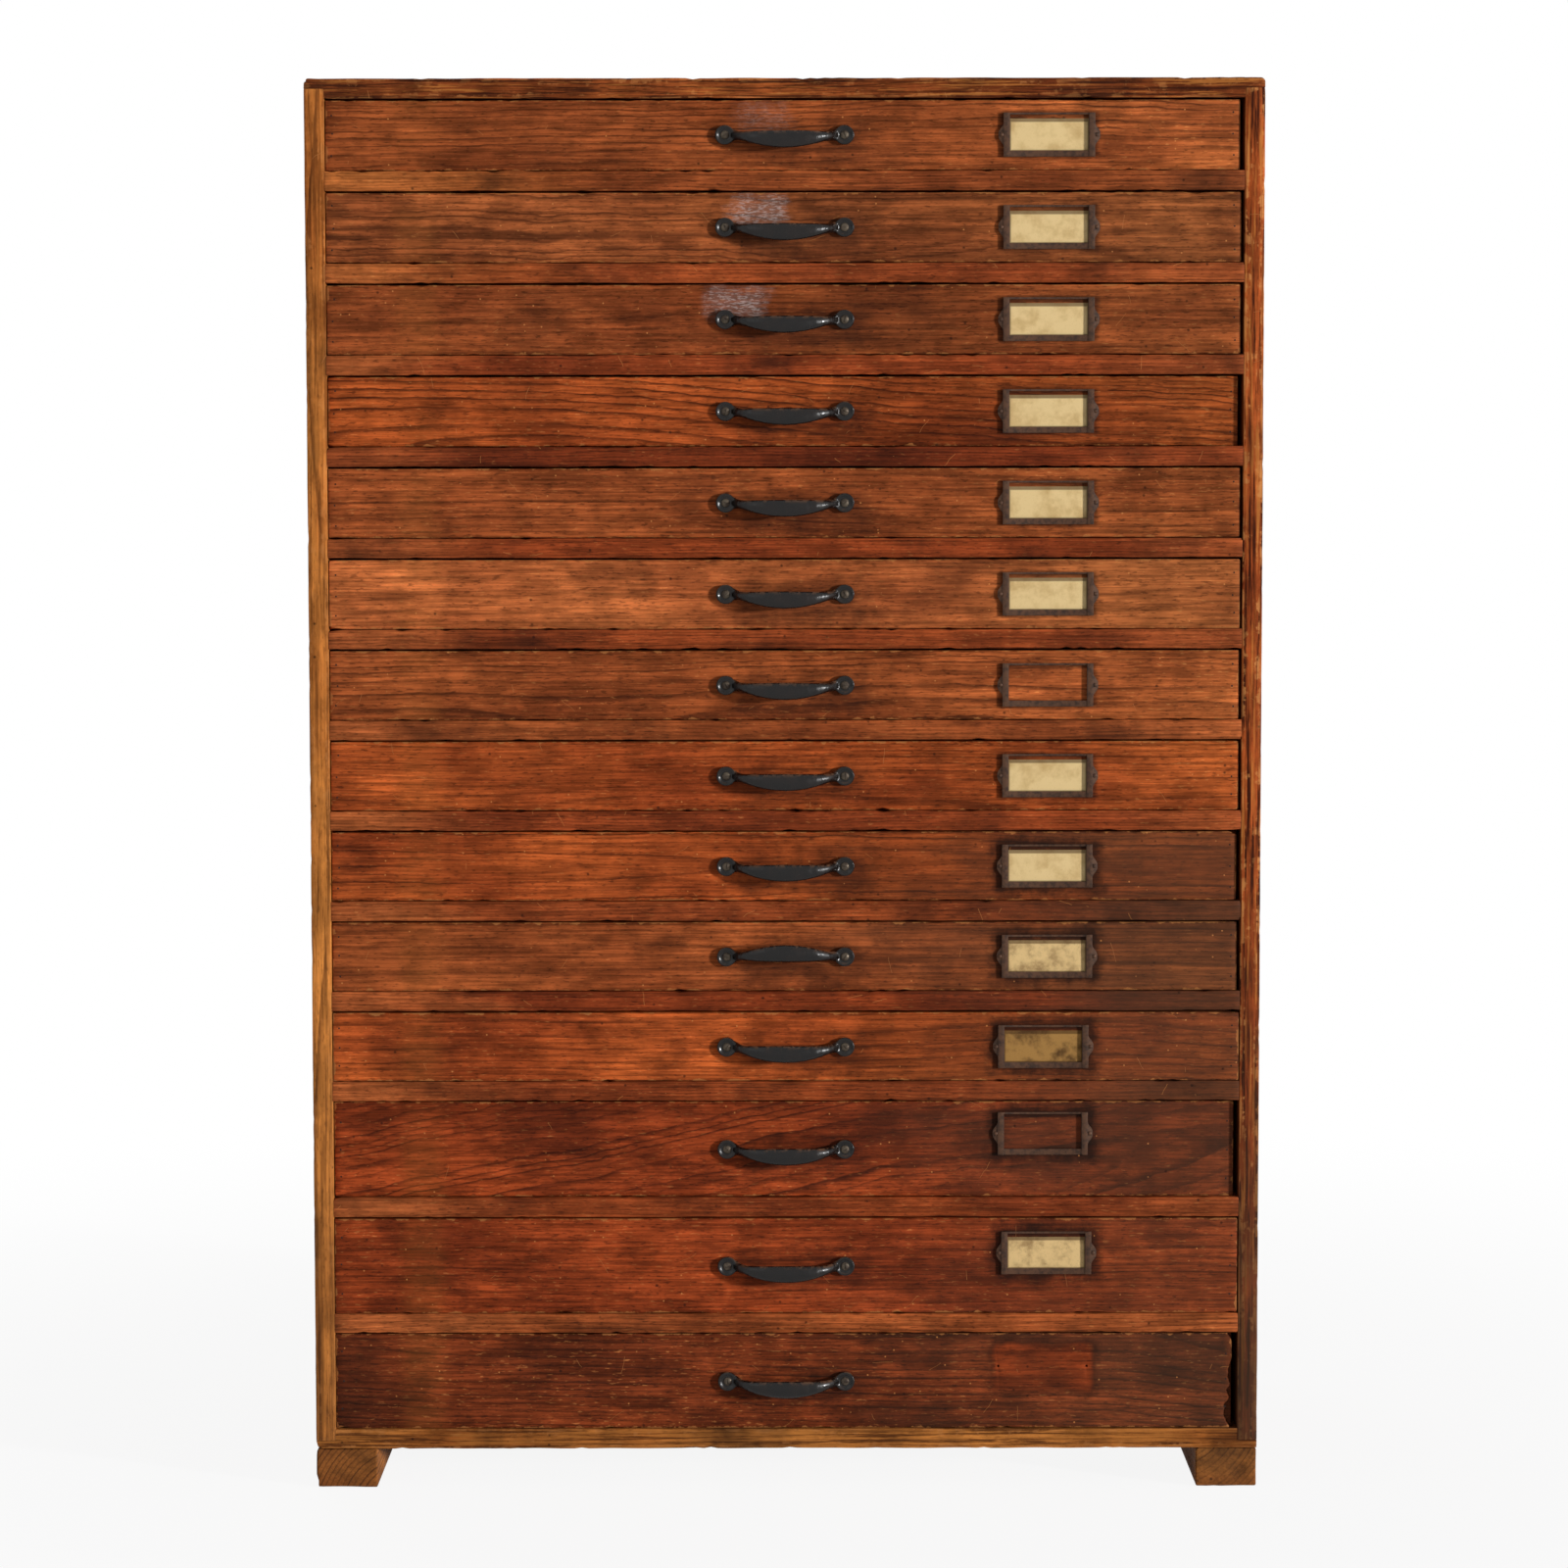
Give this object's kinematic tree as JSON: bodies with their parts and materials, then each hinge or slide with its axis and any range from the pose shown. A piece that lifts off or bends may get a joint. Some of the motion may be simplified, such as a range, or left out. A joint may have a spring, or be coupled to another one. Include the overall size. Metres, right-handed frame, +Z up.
{
  "type": "type case cabinet",
  "caption": "Tall floor-standing wooden drawer cabinet with inset drawers on wooden runners, iron bar pulls, card holders and skids underneath.",
  "frame": {"origin": "on the floor under the middle of the whole object, pulls included", "axes": "+Z up, +X to the right of someone facing the drawers, +Y towards the back, drawers open towards -Y"},
  "size_m": [0.9144, 0.5826, 1.3586],
  "materials": {
    "case_wood": "worn shellac on old fir",
    "drawer_wood": "worn shellac on old fir",
    "inner_wood": "bare aged softwood",
    "skid_wood": "bare weathered softwood",
    "pull_iron": "worn black japanning",
    "holder_metal": "dark bronzed",
    "screw_steel": "dull"
  },
  "bodies": {
    "cabinet": {"top_board": "case_wood", "bottom_board": "case_wood", "side_left": "case_wood", "side_right": "case_wood", "back_boards": "inner_wood", "front_rails": "case_wood", "runners_left": "inner_wood", "runners_right": "inner_wood", "drawer_stops": "inner_wood", "skid_left": "skid_wood", "skid_right": "skid_wood", "skid_screws": "screw_steel"},
    "drawer_unit_01": {"drawer_01": "drawer_wood", "pull_01": "pull_iron", "card_holder_01": "holder_metal"},
    "drawer_unit_02": {"drawer_02": "drawer_wood", "pull_02": "pull_iron", "card_holder_02": "holder_metal"},
    "drawer_unit_03": {"drawer_03": "drawer_wood", "pull_03": "pull_iron", "card_holder_03": "holder_metal"},
    "drawer_unit_04": {"drawer_04": "drawer_wood", "pull_04": "pull_iron", "card_holder_04": "holder_metal"},
    "drawer_unit_05": {"drawer_05": "drawer_wood", "pull_05": "pull_iron", "card_holder_05": "holder_metal"},
    "drawer_unit_06": {"drawer_06": "drawer_wood", "pull_06": "pull_iron", "card_holder_06": "holder_metal"},
    "drawer_unit_07": {"drawer_07": "drawer_wood", "pull_07": "pull_iron", "card_holder_07": "holder_metal"},
    "drawer_unit_08": {"drawer_08": "drawer_wood", "pull_08": "pull_iron", "card_holder_08": "holder_metal"},
    "drawer_unit_09": {"drawer_09": "drawer_wood", "pull_09": "pull_iron", "card_holder_09": "holder_metal"},
    "drawer_unit_10": {"drawer_10": "drawer_wood", "pull_10": "pull_iron", "card_holder_10": "holder_metal"},
    "drawer_unit_11": {"drawer_11": "drawer_wood", "pull_11": "pull_iron", "card_holder_11": "holder_metal"},
    "drawer_unit_12": {"drawer_12": "drawer_wood", "pull_12": "pull_iron", "card_holder_12": "holder_metal"},
    "drawer_unit_13": {"drawer_13": "drawer_wood", "pull_13": "pull_iron", "card_holder_13": "holder_metal"},
    "drawer_unit_14": {"drawer_14": "drawer_wood", "pull_14": "pull_iron"}
  },
  "joints": [
    {"name": "drawer_01_slide", "type": "slide", "parent": "cabinet", "child": "drawer_unit_01", "axis": [0, -1, 0], "range_m": [0, 0.4]},
    {"name": "drawer_02_slide", "type": "slide", "parent": "cabinet", "child": "drawer_unit_02", "axis": [0, -1, 0], "range_m": [0, 0.4]},
    {"name": "drawer_03_slide", "type": "slide", "parent": "cabinet", "child": "drawer_unit_03", "axis": [0, -1, 0], "range_m": [0, 0.4]},
    {"name": "drawer_04_slide", "type": "slide", "parent": "cabinet", "child": "drawer_unit_04", "axis": [0, -1, 0], "range_m": [0, 0.4]},
    {"name": "drawer_05_slide", "type": "slide", "parent": "cabinet", "child": "drawer_unit_05", "axis": [0, -1, 0], "range_m": [0, 0.4]},
    {"name": "drawer_06_slide", "type": "slide", "parent": "cabinet", "child": "drawer_unit_06", "axis": [0, -1, 0], "range_m": [0, 0.4]},
    {"name": "drawer_07_slide", "type": "slide", "parent": "cabinet", "child": "drawer_unit_07", "axis": [0, -1, 0], "range_m": [0, 0.4]},
    {"name": "drawer_08_slide", "type": "slide", "parent": "cabinet", "child": "drawer_unit_08", "axis": [0, -1, 0], "range_m": [0, 0.4]},
    {"name": "drawer_09_slide", "type": "slide", "parent": "cabinet", "child": "drawer_unit_09", "axis": [0, -1, 0], "range_m": [0, 0.4]},
    {"name": "drawer_10_slide", "type": "slide", "parent": "cabinet", "child": "drawer_unit_10", "axis": [0, -1, 0], "range_m": [0, 0.4]},
    {"name": "drawer_11_slide", "type": "slide", "parent": "cabinet", "child": "drawer_unit_11", "axis": [0, -1, 0], "range_m": [0, 0.4]},
    {"name": "drawer_12_slide", "type": "slide", "parent": "cabinet", "child": "drawer_unit_12", "axis": [0, -1, 0], "range_m": [0, 0.4]},
    {"name": "drawer_13_slide", "type": "slide", "parent": "cabinet", "child": "drawer_unit_13", "axis": [0, -1, 0], "range_m": [0, 0.4]},
    {"name": "drawer_14_slide", "type": "slide", "parent": "cabinet", "child": "drawer_unit_14", "axis": [0, -1, 0], "range_m": [0, 0.4]}
  ]
}
